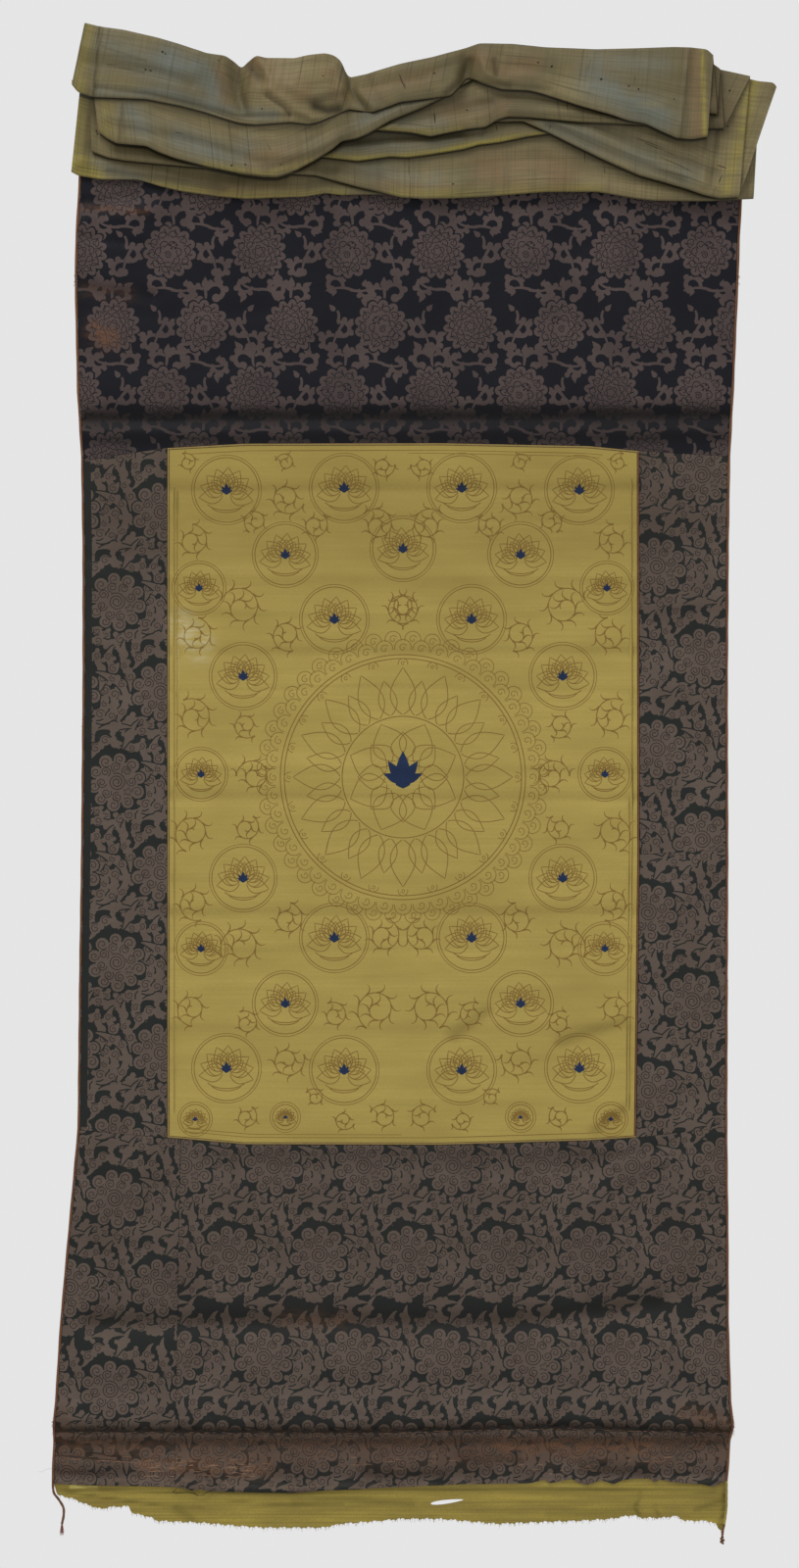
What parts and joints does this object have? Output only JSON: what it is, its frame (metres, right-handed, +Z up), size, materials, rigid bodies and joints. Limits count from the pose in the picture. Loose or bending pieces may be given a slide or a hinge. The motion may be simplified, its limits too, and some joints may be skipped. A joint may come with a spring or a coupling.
{
  "type": "thangka scroll painting",
  "caption": "Hanging scroll: a painted silk panel framed in dark damask, with a silk cover cloth folded up in a pile over its top edge.",
  "frame": {"origin": "middle of the scroll's top edge, from which it hangs, in the middle of the cloth's thickness", "axes": "+Z up, -Y out of the painted front, +X to the right as one looks at the front"},
  "size_m": [0.7386, 0.058, 1.5489],
  "materials": {
    "painted silk": "matte",
    "black and brown damask": "soft sheen",
    "grey-brown damask": "soft sheen",
    "yellow silk": "matte",
    "olive silk": "soft sheen",
    "pale piping silk": "matte",
    "brown piping silk": "matte",
    "red-brown thread": "matte"
  },
  "bodies": {
    "root": {"picture": "painted silk", "picture_piping_top": "pale piping silk", "picture_piping_bottom": "pale piping silk", "picture_piping_left": "pale piping silk", "picture_piping_right": "brown piping silk", "upper_brocade": "black and brown damask", "left_brocade": "grey-brown damask", "right_brocade_upper": "grey-brown damask", "right_brocade_lower": "grey-brown damask", "lower_brocade_left": "grey-brown damask", "lower_brocade": "grey-brown damask", "lining": "yellow silk", "veil": "olive silk", "left_edge_cord": "brown piping silk", "right_edge_cord": "brown piping silk", "left_cord_end": "brown piping silk", "left_cord_tuft": "red-brown thread", "right_cord_end": "brown piping silk", "right_cord_knot": "brown piping silk"}
  },
  "joints": []
}
